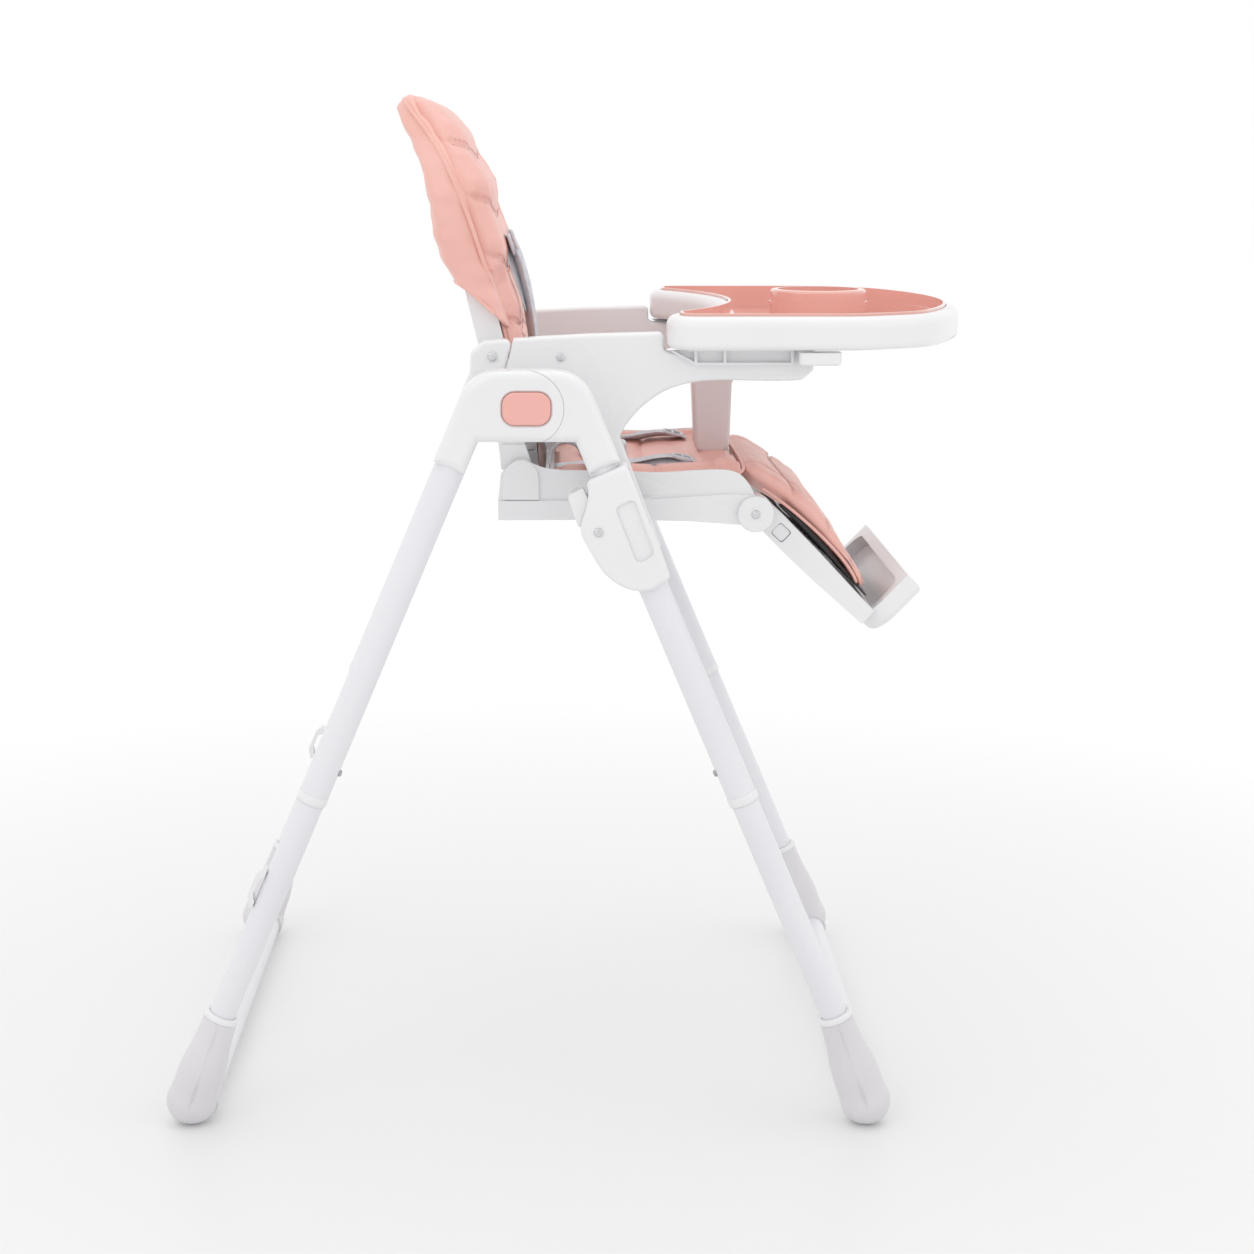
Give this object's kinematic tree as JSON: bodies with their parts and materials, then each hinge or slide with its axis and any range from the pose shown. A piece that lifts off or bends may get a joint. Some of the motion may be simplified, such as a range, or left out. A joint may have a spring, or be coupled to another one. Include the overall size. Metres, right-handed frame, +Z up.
{
  "type": "baby high chair",
  "caption": "Folding baby high chair with a padded reclining seat, adjustable leg rest, removable tray with cup holder, harness and white A-frame legs.",
  "frame": {"origin": "on the floor, under the middle of the chair's overall box", "axes": "+X to the seated child's left, +Y to the rear, +Z up"},
  "size_m": [0.63, 0.8343, 1.044],
  "materials": {
    "white_gloss": "moulded, glossy",
    "white_tube": "powder coated, satin",
    "mauve_foot": "moulded, satin",
    "sole_rubber": "matte",
    "chrome_screw": "polished",
    "steel": "turned",
    "pink_button": "moulded, glossy",
    "grey_plastic": "moulded, satin",
    "pink_leather": "coated leather, soft grain",
    "pale_webbing": "woven webbing",
    "pink_tray": "moulded, glossy",
    "pale_pink_plastic": "moulded, satin"
  },
  "bodies": {
    "front_frame": {"front_elbow_left": "white_gloss", "front_elbow_right": "white_gloss", "front_upper_tubes": "white_tube", "front_lower_tubes": "white_tube", "front_foot_left": "mauve_foot", "front_foot_right": "mauve_foot", "front_foot_soles": "sole_rubber", "front_floor_bar": "white_tube", "front_snap_studs": "steel", "hinge_bolts": "steel"},
    "rear_frame": {"rear_elbow_left": "white_gloss", "rear_elbow_right": "white_gloss", "rear_upper_tubes": "white_tube", "rear_lower_tubes": "white_tube", "rear_foot_left": "mauve_foot", "rear_foot_right": "mauve_foot", "rear_foot_soles": "sole_rubber", "rear_floor_bar": "white_tube", "rear_snap_studs": "steel", "tray_hooks": "white_gloss", "fold_stop_pins": "steel", "button_springs": "steel"},
    "fold_button_left": {"fold_button_left": "pink_button"},
    "fold_button_right": {"fold_button_right": "pink_button"},
    "seat_carriage": {"slider_inner_left": "white_gloss", "slider_inner_right": "white_gloss", "slider_outer_left": "white_gloss", "slider_outer_right": "white_gloss", "armrest_left": "white_gloss", "armrest_right": "white_gloss", "slider_screws": "chrome_screw", "armrest_caps": "white_gloss", "armrest_screws": "chrome_screw", "seat_shell": "white_gloss", "recline_pivot_covers": "white_gloss", "backrest_pins": "steel", "leg_rest_pins": "steel", "leg_rest_caps": "white_gloss", "leg_rest_screws": "chrome_screw", "seat_pad": "pink_leather", "waist_straps": "pale_webbing", "strap_slides": "grey_plastic", "harness_buckle": "grey_plastic"},
    "height_lever_left": {"height_lever_left": "white_gloss"},
    "height_lever_right": {"height_lever_right": "white_gloss"},
    "backrest": {"back_shell": "white_gloss", "back_pad": "pink_leather", "shoulder_straps": "pale_webbing"},
    "recline_handle": {"recline_handle": "grey_plastic"},
    "leg_rest": {"leg_rest_frame": "white_gloss", "leg_rest_pad": "pink_leather"},
    "leg_rest_button_left": {"leg_rest_button_left": "white_gloss"},
    "leg_rest_button_right": {"leg_rest_button_right": "white_gloss"},
    "tray": {"tray_base": "white_gloss", "crotch_post": "pale_pink_plastic", "tray_rail_left": "white_gloss", "tray_rail_right": "white_gloss"},
    "tray_latch_left": {"tray_latch_left": "white_gloss"},
    "tray_latch_right": {"tray_latch_right": "white_gloss"},
    "tray_insert": {"tray_insert": "pink_tray"}
  },
  "joints": [
    {"name": "frame_fold", "type": "hinge", "parent": "front_frame", "child": "rear_frame", "pos_m": [0, 0.043, 0.742], "axis": [-1, 0, 0], "range_deg": [0, 44]},
    {"name": "fold_button_press_left", "type": "slide", "parent": "rear_frame", "child": "fold_button_left", "axis": [-1, 0, 0], "range_m": [0, 0.004], "stiffness_N_per_m": 400},
    {"name": "fold_button_press_right", "type": "slide", "parent": "rear_frame", "child": "fold_button_right", "axis": [1, 0, 0], "range_m": [0, 0.004], "stiffness_N_per_m": 400},
    {"name": "seat_height", "type": "slide", "parent": "front_frame", "child": "seat_carriage", "axis": [0, -0.3907, -0.9205], "range_m": [0, 0.19]},
    {"name": "height_lever_pull_left", "type": "hinge", "parent": "seat_carriage", "child": "height_lever_left", "pos_m": [0.289, -0.027, 0.6219], "axis": [1, 0, 0], "range_deg": [0, 5], "stiffness_Nm_per_rad": 2},
    {"name": "height_lever_pull_right", "type": "hinge", "parent": "seat_carriage", "child": "height_lever_right", "pos_m": [-0.289, -0.027, 0.6219], "axis": [1, 0, 0], "range_deg": [0, 5], "stiffness_Nm_per_rad": 2},
    {"name": "backrest_recline", "type": "hinge", "parent": "seat_carriage", "child": "backrest", "pos_m": [0, 0.05, 0.658], "axis": [-1, 0, 0], "range_deg": [0, 35]},
    {"name": "recline_handle_lift", "type": "slide", "parent": "backrest", "child": "recline_handle", "axis": [0, 0, 1], "range_m": [0, 0.008], "stiffness_N_per_m": 300},
    {"name": "leg_rest_tilt", "type": "hinge", "parent": "seat_carriage", "child": "leg_rest", "pos_m": [0, -0.19, 0.621], "axis": [-1, 0, 0], "range_deg": [-30, 38]},
    {"name": "leg_rest_button_press_left", "type": "slide", "parent": "leg_rest", "child": "leg_rest_button_left", "axis": [-1, 0, 0], "range_m": [0, 0.002], "stiffness_N_per_m": 300},
    {"name": "leg_rest_button_press_right", "type": "slide", "parent": "leg_rest", "child": "leg_rest_button_right", "axis": [1, 0, 0], "range_m": [0, 0.002], "stiffness_N_per_m": 300},
    {"name": "tray_reach", "type": "slide", "parent": "seat_carriage", "child": "tray", "axis": [0, -1, 0], "range_m": [0, 0.1]},
    {"name": "tray_latch_squeeze_left", "type": "slide", "parent": "tray", "child": "tray_latch_left", "axis": [-1, 0, 0], "range_m": [0, 0.003], "stiffness_N_per_m": 400},
    {"name": "tray_latch_squeeze_right", "type": "slide", "parent": "tray", "child": "tray_latch_right", "axis": [1, 0, 0], "range_m": [0, 0.003], "stiffness_N_per_m": 400},
    {"name": "tray_insert_lift", "type": "slide", "parent": "tray", "child": "tray_insert", "axis": [0, 0, 1], "range_m": [0, 0.06]}
  ]
}
